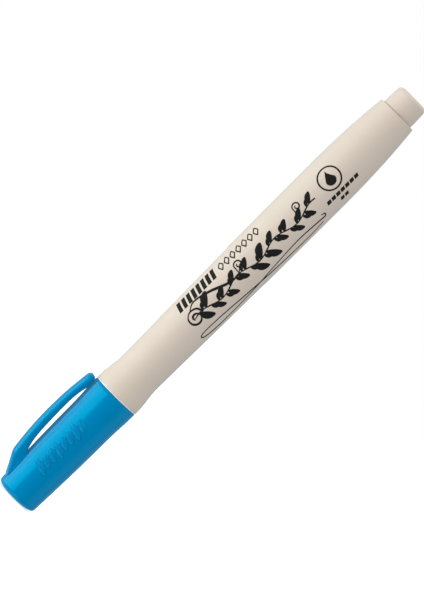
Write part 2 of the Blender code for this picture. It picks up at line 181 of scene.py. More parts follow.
def finished(name, shape, body, smooth_under=38):
    """A mesh object from a bmesh in millimetres, its faces out, that rides on a body."""
    bmesh.ops.remove_doubles(shape, verts=shape.verts, dist=0.0005)
    bmesh.ops.recalc_face_normals(shape, faces=shape.faces)
    bmesh.ops.scale(shape, vec=(MM, MM, MM), verts=shape.verts)
    mesh = bpy.data.meshes.new(name)
    shape.to_mesh(mesh)
    shape.free()
    mesh.shade_smooth()
    mesh.set_sharp_from_angle(angle=radians(smooth_under))
    piece = bpy.data.objects.new(name, mesh)
    bpy.context.scene.collection.objects.link(piece)
    if body:
        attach(piece, body)
    print(f"{name}: {len(mesh.polygons)} faces")
    return piece


def turned(name, outline, body, sides=128, closed=False):
    """The outline spun about Z. It starts and ends on the axis, or is a closed ring off the axis."""
    points = soften(outline)
    shape = bmesh.new()
    rings = []
    for radius, height in points:
        if radius < 1e-6:
            rings.append([shape.verts.new((0, 0, height))] * sides)
        else:
            # The uneven start keeps Pointiness from taking neighbouring points for one another.
            turns = [2 * pi * (k + 0.3) / sides for k in range(sides)]
            rings.append([shape.verts.new((radius * cos(a), radius * sin(a), height)) for a in turns])
    pairs = list(zip(rings, rings[1:]))
    if closed:
        pairs.append((rings[-1], rings[0]))
    for near, far in pairs:
        for k in range(sides):
            corners = [near[k], near[(k + 1) % sides], far[(k + 1) % sides], far[k]]
            distinct = list(dict.fromkeys(corners))
            if len(distinct) > 2:
                shape.faces.new(distinct)
    return finished(name, shape, body)


# %% [markdown]
# ## Shared finishes
#
# Moulded plastic is never one flat colour: the pigment is a little cloudy, the skin has a fine
# orange-peel texture from the spark-eroded mould, handling polishes it in patches, and edges go pale
# where they rub. Those effects are node groups with named sockets, so that each plastic places them
# with its own values. The Principled shader stays outside, in each material.

# %% Helpers for building node groups


def new_group(name, inputs, outputs):
    """A shader node group. inputs are (name, socket type, default), outputs are (name, socket type)."""
    group = bpy.data.node_groups.new(name, "ShaderNodeTree")
    for label, kind, default in inputs:
        socket = group.interface.new_socket(label, in_out="INPUT", socket_type=kind)
        if default is not None:
            socket.default_value = default
    for label, kind in outputs:
        group.interface.new_socket(label, in_out="OUTPUT", socket_type=kind)
    return group, group.nodes.new("NodeGroupInput"), group.nodes.new("NodeGroupOutput")


def add(tree, kind, settings=None, **inputs):
    """A node with its settings and its sockets filled, each by a value or by another node's socket."""
    node = tree.nodes.new(kind)
    for key, value in (settings or {}).items():
        setattr(node, key, value)
    for key, value in inputs.items():
        key = key.replace("_", " ")
        socket = node.inputs[int(key)] if key.isdigit() else node.inputs[key]
        if isinstance(value, bpy.types.NodeSocket):
            tree.links.new(value, socket)
        else:
            socket.default_value = value
    return node


def math(tree, operation, first, second=0.0, clamp=False):
    node = tree.nodes.new("ShaderNodeMath")
    node.operation, node.use_clamp = operation, clamp
    for socket, value in zip(node.inputs, (first, second)):
        if isinstance(value, bpy.types.NodeSocket):
            tree.links.new(value, socket)
        else:
            socket.default_value = value
    return node.outputs[0]


def blend_colour(tree, share, first, second):
    node = tree.nodes.new("ShaderNodeMix")
    node.data_type = "RGBA"
    for index, value in ((0, share), (6, first), (7, second)):
        if isinstance(value, bpy.types.NodeSocket):
            tree.links.new(value, node.inputs[index])
        else:
            node.inputs[index].default_value = value
    return node.outputs[2]


def spread(tree, value, low_in, high_in, low_out, high_out):
    node = tree.nodes.new("ShaderNodeMapRange")
    for socket, number in zip(node.inputs, (value, low_in, high_in, low_out, high_out)):
        if isinstance(number, bpy.types.NodeSocket):
            tree.links.new(number, socket)
        else:
            socket.default_value = number
    return node.outputs[0]


# %% [markdown]
# The skin is three noises. A broad one mixes a second colour in, a middling one makes the finish
# glossier where it is handled, and a fine one, fed to a Bump node, is the orange peel. All three are
# read in object space, so the pattern stays on the piece when it moves.

# %% Node group: the skin of a moulded plastic
skin, skin_in, skin_out = new_group(
    "moulded skin",
    [
        ("Colour", "NodeSocketColor", (0.8, 0.8, 0.8, 1)),
        ("Cloud Colour", "NodeSocketColor", (0.7, 0.7, 0.7, 1)),
        ("Cloud Amount", "NodeSocketFloat", 0.3),
        ("Roughness", "NodeSocketFloat", 0.4),
        ("Roughness Spread", "NodeSocketFloat", 0.08),
        ("Peel Size", "NodeSocketFloat", 0.25),
        ("Peel Height", "NodeSocketFloat", 0.2),
    ],
    [
        ("Colour", "NodeSocketColor"),
        ("Roughness", "NodeSocketFloat"),
        ("Normal", "NodeSocketVector"),
    ],
)
place = add(skin, "ShaderNodeTexCoord").outputs["Object"]
cloud = add(skin, "ShaderNodeTexNoise", Vector=place, Scale=160.0, Detail=3.0)
clouds = spread(skin, cloud.outputs["Fac"], 0.35, 0.65, 0.0, 1.0)
cloudy = math(skin, "MULTIPLY", clouds, skin_in.outputs["Cloud Amount"])
skin.links.new(
    blend_colour(skin, cloudy, skin_in.outputs["Colour"], skin_in.outputs["Cloud Colour"]),
    skin_out.inputs["Colour"],
)
handled = add(skin, "ShaderNodeTexNoise", Vector=place, Scale=420.0, Detail=4.0)
patches = spread(skin, handled.outputs["Fac"], 0.3, 0.7, -1.0, 1.0)
rougher = math(skin, "MULTIPLY", patches, skin_in.outputs["Roughness Spread"])
skin.links.new(math(skin, "ADD", skin_in.outputs["Roughness"], rougher), skin_out.inputs["Roughness"])
peel_scale = math(skin, "DIVIDE", 1000.0, skin_in.outputs["Peel Size"])
peel = add(skin, "ShaderNodeTexNoise", Vector=place, Scale=peel_scale, Detail=2.0)
bump = add(
    skin, "ShaderNodeBump", Strength=skin_in.outputs["Peel Height"], Distance=0.00004, Height=peel.outputs["Fac"]
)
skin.links.new(bump.outputs["Normal"], skin_out.inputs["Normal"])
print("node group:", skin.name)

# %% [markdown]
# Edge wear comes from the shape itself: Pointiness is above a half where the surface is convex.
# A noise breaks the line up, because a cap doesn't rub evenly.

# %% Node group: edges rubbed pale
wear, wear_in, wear_out = new_group(
    "rubbed edges",
    [
        ("Colour", "NodeSocketColor", (0.8, 0.8, 0.8, 1)),
        ("Rubbed Colour", "NodeSocketColor", (0.9, 0.9, 0.9, 1)),
        ("Amount", "NodeSocketFloat", 0.4),
        ("Break Size", "NodeSocketFloat", 0.8),
    ],
    [("Colour", "NodeSocketColor"), ("Mask", "NodeSocketFloat")],
)
point = add(wear, "ShaderNodeNewGeometry").outputs["Pointiness"]
ridge = spread(wear, point, 0.515, 0.58, 0.0, 1.0)
place = add(wear, "ShaderNodeTexCoord").outputs["Object"]
breaks = add(
    wear, "ShaderNodeTexNoise", Vector=place,
    Scale=math(wear, "DIVIDE", 1000.0, wear_in.outputs["Break Size"]), Detail=3.0,
)
broken = math(wear, "MULTIPLY", ridge, spread(wear, breaks.outputs["Fac"], 0.35, 0.6, 0.35, 1.0))
mask = math(wear, "MULTIPLY", broken, wear_in.outputs["Amount"], clamp=True)
wear.links.new(
    blend_colour(wear, mask, wear_in.outputs["Colour"], wear_in.outputs["Rubbed Colour"]), wear_out.inputs["Colour"]
)
wear.links.new(mask, wear_out.inputs["Mask"])
print("node group:", wear.name)

# %% [markdown]
# The brush, the feed rod and the ink store are fibres that lie along the pen. A noise that is
# squeezed across the pen and stretched along it gives the streaks.

# %% Node group: fibres along the pen
fibre, fibre_in, fibre_out = new_group(
    "fibres",
    [
        ("Colour", "NodeSocketColor", (0.8, 0.8, 0.8, 1)),
        ("Deep Colour", "NodeSocketColor", (0.3, 0.3, 0.3, 1)),
        ("Fibre Size", "NodeSocketFloat", 0.12),
        ("Height", "NodeSocketFloat", 0.5),
    ],
    [("Colour", "NodeSocketColor"), ("Normal", "NodeSocketVector")],
)
place = add(fibre, "ShaderNodeTexCoord").outputs["Object"]
stretched = add(fibre, "ShaderNodeMapping", Vector=place, Scale=(1.0, 1.0, 0.06))
strands = add(
    fibre, "ShaderNodeTexNoise", Vector=stretched.outputs["Vector"],
    Scale=math(fibre, "DIVIDE", 1000.0, fibre_in.outputs["Fibre Size"]), Detail=3.0,
)
deep = spread(fibre, strands.outputs["Fac"], 0.35, 0.62, 0.0, 1.0)
fibre.links.new(
    blend_colour(fibre, deep, fibre_in.outputs["Deep Colour"], fibre_in.outputs["Colour"]), fibre_out.inputs["Colour"]
)
bump = add(
    fibre, "ShaderNodeBump", Strength=fibre_in.outputs["Height"], Distance=0.00008, Height=strands.outputs["Fac"]
)
fibre.links.new(bump.outputs["Normal"], fibre_out.inputs["Normal"])
print("node group:", fibre.name)

# %% [markdown]
# ## The materials
#
# The cap is a semi-gloss blue, so the light that stands beside the pen shows in it as one broad band
# with an edge. Its reflections are tinted, which keeps the band a clean cyan where a neutral one would
# turn it milky. The barrel is satin, and shows the same light only as a gradient. Constant values are
# set on the shader itself, and only what changes over the surface comes in through a link.

# %% Materials of plastic


def principled(name, **constants):
    """A material with its Principled shader's own sockets set."""
    material = bpy.data.materials.new(name)
    material.use_nodes = True
    shader = material.node_tree.nodes["Principled BSDF"]
    for key, value in constants.items():
        shader.inputs[key.replace("_", " ")].default_value = value
    return material, material.node_tree, shader


def plastic(name, colour, cloud_colour, rubbed, skin_values, wear_amount, **constants):
    material, tree, shader = principled(name, **constants)
    base = add(
        tree, "ShaderNodeGroup", {"node_tree": skin},
        Colour=(*colour, 1), Cloud_Colour=(*cloud_colour, 1), **skin_values
    )
    edge = add(
        tree, "ShaderNodeGroup", {"node_tree": wear},
        Colour=base.outputs["Colour"], Rubbed_Colour=(*rubbed, 1), Amount=wear_amount,
    )
    tree.links.new(edge.outputs["Colour"], shader.inputs["Base Color"])
    tree.links.new(base.outputs["Roughness"], shader.inputs["Roughness"])
    tree.links.new(base.outputs["Normal"], shader.inputs["Normal"])
    return material


cap_blue = plastic(
    "cap_blue", (0.0, 0.235, 0.52), (0.0, 0.215, 0.485), (0.03, 0.36, 0.62),
    {"Cloud_Amount": 0.5, "Roughness": 0.19, "Roughness_Spread": 0.04, "Peel_Size": 0.35, "Peel_Height": 0.1},
    0.45, IOR=1.5, Specular_IOR_Level=0.65, Specular_Tint=(0.0, 0.85, 1.0, 1),
)
barrel_ivory = plastic(
    "barrel_ivory", (0.765, 0.615, 0.515), (0.735, 0.585, 0.485), (0.8, 0.73, 0.65),
    {"Cloud_Amount": 0.35, "Roughness": 0.5, "Roughness_Spread": 0.06, "Peel_Size": 0.22, "Peel_Height": 0.16},
    0.5, IOR=1.46,
)
# Natural plastic for the inner cap and the collar. It also colours the pale ring at the seam, which is a painted
# highlight.
natural_plastic = plastic(
    "natural_plastic", (0.84, 0.88, 0.89), (0.78, 0.82, 0.83), (0.9, 0.92, 0.92),
    {"Cloud_Amount": 0.5, "Roughness": 0.38, "Roughness_Spread": 0.06, "Peel_Size": 0.3, "Peel_Height": 0.12},
    0.3, IOR=1.5,
)
print("plastics:", cap_blue.name, barrel_ivory.name, natural_plastic.name)

# %% [markdown]
# The brush and the ink store take the fibre group, each with its own strand size. The printed ink is a
# plastic too, since it dries to a thin skin, but a nearly black one that hardly reflects: a glossier
# ink would pick up the surround and go grey.

# %% Materials of ink and fibre


def fibrous(name, colour, deep_colour, size, height, roughness, **constants):
    material, tree, shader = principled(name, Roughness=roughness, **constants)
    strands = add(
        tree, "ShaderNodeGroup", {"node_tree": fibre},
        Colour=(*colour, 1), Deep_Colour=(*deep_colour, 1), Fibre_Size=size, Height=height,
    )
    tree.links.new(strands.outputs["Colour"], shader.inputs["Base Color"])
    tree.links.new(strands.outputs["Normal"], shader.inputs["Normal"])
    return material


brush_fibre = fibrous("brush_fibre", (0.01, 0.26, 0.5), (0.0, 0.11, 0.27), 0.1, 0.8, 0.5)
store_fibre = fibrous("store_fibre", (0.02, 0.3, 0.55), (0.0, 0.16, 0.36), 0.2, 0.9, 0.8)
film_clear = fibrous("film_clear", (0.7, 0.76, 0.8), (0.6, 0.67, 0.72), 0.9, 0.15, 0.2)

print_black = plastic(
    "print_black", (0.014, 0.012, 0.011), (0.02, 0.018, 0.016), (0.05, 0.048, 0.045),
    {"Cloud_Amount": 0.6, "Roughness": 0.55, "Roughness_Spread": 0.08, "Peel_Size": 0.12, "Peel_Height": 0.2},
    0.2, IOR=1.5, Specular_IOR_Level=0.06,
)
print("fibres and ink:", brush_fibre.name, store_fibre.name, film_clear.name, print_black.name)


def dress(piece, material):
    piece.data.materials.clear()
    piece.data.materials.append(material)
    return piece


# %% [markdown]
# ## The cap
#
# The cap is a cup with its closed end down. Its outside has a small flat to stand on, a gentle slope
# out to a small corner, a side that swells and flares, and a softened edge at the mouth. Inside, the
# narrow bore holds the inner cap and the wide one takes the barrel's neck. A shallow dimple at the
# middle of the closed end is where the plastic was fed in.

# %% Make the cap
floor_height, step_height, bore, mouth_bore = 1.7, high("inner_cap") + 0.3, 4.66, 5.23
corner = [
    (
        CAP_RADII["end"] - CAP_CORNER + CAP_CORNER * cos(radians(turn)),
        CAP_CORNER_AT + CAP_CORNER * sin(radians(turn)),
    )
    for turn in range(CAP_END_SLOPE - 90, 1, 8)
]
flat = corner[0][0] - corner[0][1] / tan(radians(CAP_END_SLOPE))
side = drawn(cap_radius, CAP_CORNER_AT, CAP_MOUTH - 0.28, 40)
cap_outline = [
    (0, 0.35), (0.9, 0.35, 0.2), (1.15, 0.0, 0.15), (1.6, 0.0), (flat, 0.0, 0.9), *corner, *side,
    (CAP_RADII["mouth"] - 0.14, CAP_MOUTH, 0.12), (mouth_bore + 0.35, CAP_MOUTH, 0.12),
    (mouth_bore, CAP_MOUTH - 0.4, 0.15), (mouth_bore, 31.3), (mouth_bore + 0.1, 31.0, 0.1),
    (mouth_bore + 0.1, 29.6, 0.1), (mouth_bore, 29.3), (mouth_bore, step_height, 0.1),
    (bore, step_height - 0.3, 0.1), (bore, floor_height, 0.3), (0, floor_height),
]
cap = dress(turned("cap", cap_outline, "cap", sides=144), cap_blue)
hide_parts("cap_shell")

# %% [markdown]
# ## The clip
#
# The clip springs from the cap just above its closed end, climbs a short ramp, and bows over the cap.
# Its last few millimetres are a foot that lies along the cap and grips cloth, and its tip is rounded.
# It could be a curve with a bevel, but its root has to melt into the cap. So it is lofted: at each
# height there is one slice across the clip, rounder on its outer face, and near the root the slice
# spreads to make the moulded fillet. The clip bends away from the cap just above its root. The cap's
# side is lit evenly, and to keep that the clip isn't seen in reflections.

# %% Slices of the clip
CLIP_ROOT, CLIP_RAMP, CLIP_SHOULDER_RADIUS = 2.75, tan(radians(29)), 8.5
CLIP_TOP, CLIP_TIP_THICK = high("pocket_clip"), 1.85
CLIP_TIP_ROUND = CLIP_TIP_THICK / 2
CLIP_TIP = CLIP_TOP - CLIP_TIP_ROUND
CLIP_SHOULDER = CLIP_ROOT + (CLIP_SHOULDER_RADIUS - cap_radius(CLIP_ROOT)) / CLIP_RAMP
CLIP_HALF_WIDTH, CLIP_BOW = 2.1, 0.95
GAP_FROM, GAP_TO, GAP_BOW = CLIP_ROOT + 7.9, CLIP_TIP - 2.2, 1.0


def bowed(start, end, bow, height, blunt=2.0):
    """The radius on a bowed line between two (radius, height) points; blunt ends rise more steeply."""
    share = (height - start[1]) / (end[1] - start[1])
    return start[0] + (end[0] - start[0]) * share + bow * (1 - abs(2 * share - 1) ** blunt)


def tip_rounding(height):
    """How far both faces draw in towards the middle of the rounded tip."""
    share = min(1.0, max(0.0, height - CLIP_TIP) / CLIP_TIP_ROUND)
    return CLIP_TIP_ROUND * (1 - sqrt(1 - share**2))


def clip_outside(height):
    """Radius of the clip's outer face: up the ramp, and then along the bow, with a soft corner."""
    ramp = cap_radius(CLIP_ROOT) - 0.1 + (height - CLIP_ROOT) * CLIP_RAMP
    end = (cap_radius(CLIP_TIP) + 0.3 + CLIP_TIP_THICK, CLIP_TIP)
    bow = bowed((CLIP_SHOULDER_RADIUS, CLIP_SHOULDER), end, CLIP_BOW, height)
    soft = 0.3
    return min(ramp, bow) - max(0.0, soft - abs(ramp - bow)) ** 2 / (4 * soft) - tip_rounding(height)


def clip_inside(height):
    """Radius of its inner face: inside the cap's wall at the root, over the gap, and along the cap."""
    if height < GAP_TO:
        ends = [(cap_radius(end) + 0.3, end) for end in (GAP_FROM, GAP_TO)]
        strap = bowed(*ends, GAP_BOW, max(height, GAP_FROM), blunt=3.5)
    else:
        strap = cap_radius(min(height, CLIP_TIP)) + 0.3 + tip_rounding(height)
    buried = cap_radius(height) - 0.7
    return buried + (strap - buried) * ease((height - GAP_FROM + 0.5) / 0.7)


def clip_slice(height, around=10, across=8):
    """Points round the clip at one height: its inner face, one side, its outer face, the other side."""
    inner, outer = clip_inside(height), clip_outside(height)
    outer = max(outer, inner + 0.02)
    depth = outer - inner
    edge = min(0.9, depth * 0.45)
    half = CLIP_HALF_WIDTH * (1 - 0.16 * max(0.0, (height - CLIP_TOP + 2.0) / 2.0) ** 2)
    melts = (1 - ease((height - GAP_FROM + 2.5) / 2.5)) * ease((height - CLIP_ROOT) / 3.0)
    side_points = []
    for k in range(across + 1):
        radius = inner + edge * 0.6 + (depth - edge * 1.6) * k / across
        above_cap = max(0.0, radius - sqrt(max(0.0, cap_radius(height) ** 2 - half**2)))
        lean = 0.12 * (1 - melts) * (1 - k / across) ** 2
        side_points.append((radius, half - lean + melts * 0.3 * max(0.0, 1 - above_cap / 0.7) ** 2))
    outer_corner = [
        (outer - edge + edge * sin(turn), half - edge + edge * cos(turn))
        for turn in [pi / 2 * k / 6 for k in range(1, 7)]
    ]
    foot = side_points[0][1]
    inner_corner = [
        (inner + edge * 0.6 * (1 - sin(turn)), foot - edge * 0.6 * (1 - cos(turn)))
        for turn in [pi / 2 * (1 - k / 4) for k in range(4)]
    ]
    flat = half - edge
    face = []
    for k in range(1, around):
        y = flat * (1 - 2 * k / around)
        face.append((outer + 0.08 * edge * (1 - (y / flat) ** 2), y))
    right = [*inner_corner, *side_points, *outer_corner]
    left = [(radius, -y) for radius, y in reversed(right)]
    return [Vector((-radius, y, height)) for radius, y in [*right, *face, *left]]


heights = [CLIP_ROOT + (GAP_FROM - 0.6 - CLIP_ROOT) * k / 30 for k in range(30)]
heights += [GAP_FROM - 0.6 + 1.2 * k / 16 for k in range(16)]
heights += [GAP_FROM + 0.6 + (CLIP_TIP - GAP_FROM - 0.6) * k / 70 for k in range(70)]
heights += [CLIP_TIP + CLIP_TIP_ROUND * sin(pi / 2 * k / 14) for k in range(15)]
shape = bmesh.new()
slices = [[shape.verts.new(point) for point in clip_slice(height)] for height in heights]
for first, second in zip(slices, slices[1:]):
    count = len(first)
    for k in range(count):
        shape.faces.new([first[k], first[(k + 1) % count], second[(k + 1) % count], second[k]])
shape.faces.new(slices[0])
shape.faces.new(list(reversed(slices[-1])))
clip = dress(finished("clip", shape, None, smooth_under=50), cap_blue)
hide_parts("pocket_clip")
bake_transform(clip)
clip.visible_glossy = False

# %% [markdown]
# ## The inner cap
#
# A thin cup of unpigmented plastic is pressed into the cap and seals round the nose. It shows only
# when the pen is out. Its rim leads the nose in.

# %% Make the inner cap
foot, rim = low("inner_cap"), high("inner_cap")
inner_outline = [
    (0, foot), (3.91, foot, 0.1), (4.46, foot + 0.55, 0.2), (4.46, rim, 0.12), (4.17, rim, 0.1),
    (3.91, rim - 0.3, 0.15), (3.91, foot + 0.8, 0.4), (0, foot + 0.8),
]
inner_cup = dress(turned("inner_cup", inner_outline, "liner", sides=96), natural_plastic)
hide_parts("inner_cap")

# %% [markdown]
# ## The barrel
#
# One moulding makes the neck that goes into the cap, the shoulder that meets the cap's mouth, and the
# long body. A low bead round the neck gives the click. A narrow pale ring sits in the shoulder's edge as
# a painted highlight: it is the pale line of light caught at the seam between the blue and the
# off-white. It could be a painted band, but as a ring of its own it keeps its edges when the pen is
# pulled out of the cap.

# %% Make the barrel
bead, lip = (NECK_FRONT + SHOULDER) / 2, CAP_MOUTH + 0.07
neck, neck_bore, body_bore = BARREL_RADII["neck"], 3.95, 4.23
barrel_outline = [
    (neck_bore, NECK_FRONT), (neck, NECK_FRONT, 0.3), (neck, bead - 0.45, 0.15), (neck + 0.13, bead, 0.3),
    (neck, bead + 0.45, 0.15), (neck, lip, 0.1), (BARREL_RADII["shoulder"] - 0.3, lip, 0.05),
    (BARREL_RADII["shoulder"] - 0.3, lip + 0.34), (BARREL_RADII["shoulder"] - 0.02, lip + 0.35, 0.05),
    *drawn(barrel_radius, SHOULDER + 0.3, WAIST_AT, 22),
    *drawn(barrel_radius, WAIST_AT, TAPER_FROM, 40)[1:],
    *drawn(barrel_radius, TAPER_FROM, TAIL - 0.3, 40)[1:],
    (BARREL_RADII["tail"], TAIL, 0.28), (body_bore + 0.15, TAIL, 0.1), (body_bore, TAIL - 0.3, 0.1),
    (body_bore, SHOULDER + 1.5, 0.1), (neck_bore, SHOULDER + 1.5, 0.1),
]
barrel = dress(turned("barrel_body", barrel_outline, "pen", sides=144, closed=True), barrel_ivory)
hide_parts("barrel")
outer = BARREL_RADII["shoulder"]
# The pale ring is a painted highlight: it stands for the light caught by the seam's edge.
seam_highlight_outline = [
    (outer - 0.28, lip + 0.01), (outer - 0.03, lip + 0.01, 0.08), (outer - 0.03, lip + 0.33, 0.08),
    (outer - 0.28, lip + 0.33),
]
seam_highlight_ring = dress(turned("shoulder_highlight_ring", seam_highlight_outline, "pen", sides=144, closed=True), natural_plastic)

# %% [markdown]
# ## The tail plug
#
# The plug closes the barrel once the ink store is in. Its head is slimmer than the barrel, so the
# barrel's end shows round it as a ledge, and its end is well rounded.

# %% Make the tail plug
seat, top, head, spigot, rounding = TAIL + 0.06, high("tail_plug"), 4.48, 4.03, 1.3
plug_outline = [
    (0, top - 2.4), (3.03, top - 2.4, 0.5), (3.03, low("tail_plug"), 0.1), (3.83, low("tail_plug"), 0.1),
    (spigot, low("tail_plug") + 0.3, 0.1), (spigot, seat, 0.05), (head, seat, 0.1), (head, seat + 1.5),
    *[
        (head - 0.12 - rounding * (1 - cos(radians(turn))), top - rounding * (1 - sin(radians(turn))))
        for turn in range(0, 91, 9)
    ],
    (head - 0.3 - rounding, top), (1.4, top), (0.9, top, 0.1), (0.75, top - 0.12, 0.1), (0, top - 0.12),
]
plug = dress(turned("plug", plug_outline, "pen", sides=112), barrel_ivory)
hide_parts("tail_plug")

# %% [markdown]
# ## The nose, its collar and the brush
#
# The nose is pressed into the neck and ends in a cone. The collar inside it grips the brush, which
# is a bundle of fibres drawn to a point, and is made in the next step.

# %% Make the nose and the collar
front, flange_end = low("nose_section"), NECK_FRONT - 0.3
nose_outline = [
    (2.0, front), (2.5, front, 0.2), (3.71, front + 2.7, 0.6), (3.71, front + 6.3, 0.1),
    (4.75, front + 6.3, 0.2), (4.75, flange_end, 0.2), (3.75, flange_end, 0.1), (3.75, high("nose_section"), 0.2),
    (2.75, high("nose_section"), 0.2), (2.75, flange_end, 0.3), (1.1, front + 6.3, 0.3), (1.1, 21.1), (2.0, 21.1),
]
nose = dress(turned("nose", nose_outline, "pen", sides=96, closed=True), barrel_ivory)
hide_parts("nose_section")
collar_low, collar_high = low("nib_collar"), high("nib_collar")
collar_outline = [(1.35, collar_low), (1.8, collar_low, 0.12), (1.8, collar_high, 0.1), (1.35, collar_high)]
collar = dress(turned("collar", collar_outline, "pen", sides=64, closed=True), natural_plastic)
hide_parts("nib_collar")

# %% [markdown]
# The brush is turned like the rest and then fluted: each point of its surface is drawn in by how far
# it is from the middle of its lock. The flutes are deepest half-way and vanish at both ends.

# %% Make the brush
LOCKS = 14
tip, root = BRUSH_POINT - 0.14, BRUSH_ROOT


def brush_radius(height):
    share = min(1.0, max(0.0, (height - tip) / (root - tip)))
    return 0.05 + 1.09 * sin(share * pi / 2) ** 0.9


brush_outline = [
    (0, tip - 0.02), *drawn(brush_radius, tip, root, 40), (1.05, root + 0.45), (0.8, root + 0.85), (0, root + 1.1)
]
brush = turned("brush", brush_outline, None, sides=112)
for vertex in brush.data.vertices:
    x, y, z = vertex.co / MM
    turn = Vector((x, y)).angle_signed(Vector((1, 0)), 0.0)
    share = min(1.0, max(0.0, (z - tip) / (root - tip)))
    depth = 0.05 * sin(pi * share) ** 0.5 if 0 < share < 1 else 0.0
    shrink = 1 - depth * (1 - abs(cos(turn * LOCKS / 2)))
    vertex.co.x *= shrink
    vertex.co.y *= shrink
dress(brush, brush_fibre)
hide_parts("brush_tip")
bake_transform(brush)

# %% [markdown]
# ## Inside the barrel
#
# The feed rod, the ink store and its film sleeve never show, so their solids stay as they are and
# only take their finishes.

# %% Dress the hidden pieces
for node, material in (("feed_wick", store_fibre), ("ink_reservoir", store_fibre), ("reservoir_film", film_clear)):
    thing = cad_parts[node]
    thing.data.materials.clear()
    thing.data.materials.append(material)
    print(node, "takes", material.name)

# %% [markdown]
# ## Ornaments printed on the barrel
#
# The print is a thin film of black ink. It could be a mask in the barrel's material, but a film of its
# own has a crisp edge at any distance. Every mark is a grid of points drawn flat, as x along the pen
# and y round it, and wrapped on the surface. The marks are ornaments, and none of them is a letter.
#
# A pen stroke is a path with a width that changes: full in the middle of a leaf, a hair in a loop.

# %% Wrap a flat grid on the pen as a thin film
VIEW_SIDE = radians(-102)  # the side of the pen that the ornaments face


def wrapped(x, y, lift, radius_at):
    """The point that is x up the pen, y round it towards the clip, and lift above its surface."""
    radius = radius_at(x)
    angle = VIEW_SIDE - y / radius
    return Vector(((radius + lift) * cos(angle), (radius + lift) * sin(angle), x))


def add_film(shape, grid, lifts, radius_at, closed=False):
    """Adds one closed film to shape. grid has a row of (x, y) for each step, lifts one height a column."""
    rows = len(grid)
    tops = [[shape.verts.new(wrapped(x, y, lift, radius_at)) for (x, y), lift in zip(row, lifts)] for row in grid]
    bottoms = [[shape.verts.new(wrapped(x, y, -0.06, radius_at)) for x, y in row] for row in grid]
    last = len(grid[0]) - 1
    for i in range(rows if closed else rows - 1):
        j = (i + 1) % rows
        for k in range(last):
            shape.faces.new([tops[i][k], tops[i][k + 1], tops[j][k + 1], tops[j][k]])
            shape.faces.new([bottoms[j][k], bottoms[j][k + 1], bottoms[i][k + 1], bottoms[i][k]])
        shape.faces.new([tops[i][0], tops[j][0], bottoms[j][0], bottoms[i][0]])
        shape.faces.new([tops[j][last], tops[i][last], bottoms[i][last], bottoms[j][last]])
    if not closed:
        for row in (0, rows - 1):
            for k in range(last):
                shape.faces.new([tops[row][k], bottoms[row][k], bottoms[row][k + 1], tops[row][k + 1]])


def smooth_path(points, per_span=10):
    """A curve through the points, each span bent by its neighbours (Catmull and Rom's rule)."""
    points = [Vector(point) for point in points]
    padded = [points[0] * 2 - points[1], *points, points[-1] * 2 - points[-2]]
    path = []
    for a, b, c, d in zip(padded, padded[1:], padded[2:], padded[3:]):
        for k in range(per_span):
            t = k / per_span
            path.append(
                (b * 2 + (c - a) * t + (a * 2 - b * 5 + c * 4 - d) * t**2 + (b * 3 - a - c * 3 + d) * t**3) / 2
            )
    return [*path, points[-1]]


def stroke_grid(path, width_at, columns=3, closed=False):
    """Rows of points across the path, as wide as width_at(share) says."""
    rows = []
    count = len(path)
    for i, here in enumerate(path):
        before = path[i - 1] if i or closed else here
        after = path[(i + 1) % count] if i < count - 1 or closed else here
        along = (after - before).normalized()
        out = Vector((-along.y, along.x))
        half = max(0.01, width_at(i / (count - 1))) / 2
        rows.append([tuple(here + out * half * (1 - 2 * k / (columns - 1))) for k in range(columns)])
    return rows


def swelled(thin, thick, power=1.0):
    """A width that goes from thin at both ends to thick in the middle."""
    return lambda share: thin + (thick - thin) * sin(pi * share) ** power


print("ornaments face", round(degrees(VIEW_SIDE)), "degrees")

# %% [markdown]
# ### The flourish
#
# A vine of brush leaves runs along the barrel: a curl at its start, heavy and light leaves on both sides
# of a waving stem, two tendrils, a swash over the first leaves, and a long underline that doubles back
# and crosses itself, as a lettering artist would end a line.

# %% Draw the flourish
INK_LIFT = 0.022
shape = bmesh.new()
drawn_strokes = 0


def ink(points, width_at, columns=3, per_span=10):
    """Adds a stroke through the points. Each lies a hair higher than the last, so none fight for a place."""
    global drawn_strokes
    lift = INK_LIFT + 0.0006 * (drawn_strokes % 9)
    add_film(shape, stroke_grid(smooth_path(points, per_span), width_at, columns), [lift] * columns, barrel_radius)
    drawn_strokes += 1


def stem_at(x):
    """How high the waving stem is at x."""
    return -0.8 + 0.7 * sin((x - 61.0) * 0.5)


def leaf(x, length, slant, width):
    """A heavy leaf with pointed ends, bent a little, that grows from the stem at this slant in degrees."""
    along = Vector((cos(radians(slant)), sin(radians(slant))))
    across = Vector((-along.y, along.x)) * (0.1 if slant > 0 else -0.1)
    start = Vector((x, stem_at(x)))
    ink([start, start + (along / 2 + across) * length, start + along * length], swelled(0.2, width, 0.7), columns=5)


def tendril(x, size):
    """A hairline that leaves the stem, rises over x and curls up in a spiral."""
    curl = [(x - 0.75 * size, stem_at(x - 0.75 * size))]
    for k in range(11):
        turn, reach = radians(200 - 45 * k), size * (0.75 - 0.055 * k)
        curl.append((x + reach * cos(turn), 1.6 + reach * sin(turn)))
    ink(curl, swelled(0.24, 0.4))


